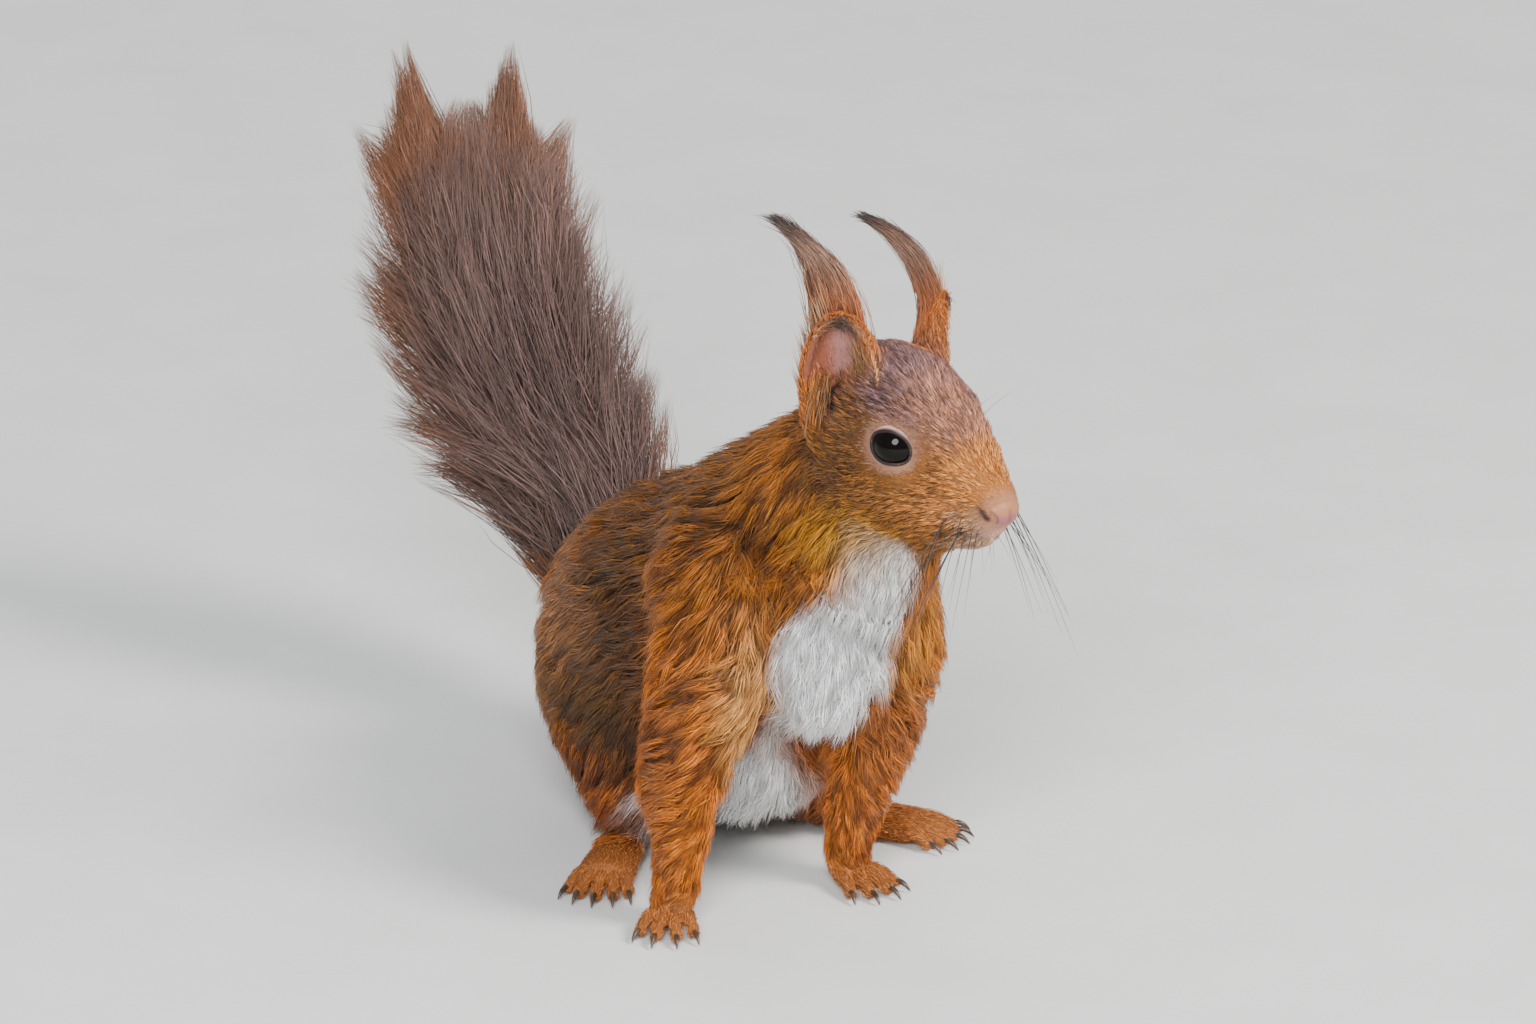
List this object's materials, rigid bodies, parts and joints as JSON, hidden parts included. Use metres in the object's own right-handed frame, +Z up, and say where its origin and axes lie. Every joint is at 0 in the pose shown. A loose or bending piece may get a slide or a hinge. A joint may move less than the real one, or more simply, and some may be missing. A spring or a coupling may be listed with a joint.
{
  "type": "red squirrel",
  "caption": "Still life-size red squirrel propped on its forelegs, head turned a little to its left, brush of the tail raised behind.",
  "frame": {"origin": "middle of the model's box, on the floor", "axes": "+Y from the nose to the tail, +X to the animal's left, +Z up"},
  "size_m": [0.1086, 0.2106, 0.1596],
  "materials": {
    "rust": "soft short rusty fur",
    "crown": "soft short grey-brown fur",
    "foot": "short orange fur and dark claws",
    "brush": "long loose brown hair",
    "tuft": "long fine brown hair",
    "eye": "wet gloss, almost black",
    "nose": "bare moist skin"
  },
  "bodies": {
    "root": {"head": "crown", "neck": "rust", "trunk": "rust", "thigh_left": "rust", "thigh_right": "rust", "upper_arm_left": "rust", "upper_arm_right": "rust", "forearm_left": "rust", "forearm_right": "rust", "forefoot_left": "foot", "forefoot_right": "foot", "hindfoot_left": "foot", "hindfoot_right": "foot", "tail_root": "brush", "tail_lower": "brush", "tail_upper": "brush", "tail_tip": "brush", "ear_left": "rust", "ear_right": "rust", "ear_tuft_left": "tuft", "ear_tuft_right": "tuft", "eye_left": "eye", "eye_right": "eye", "nose": "nose"}
  },
  "joints": []
}
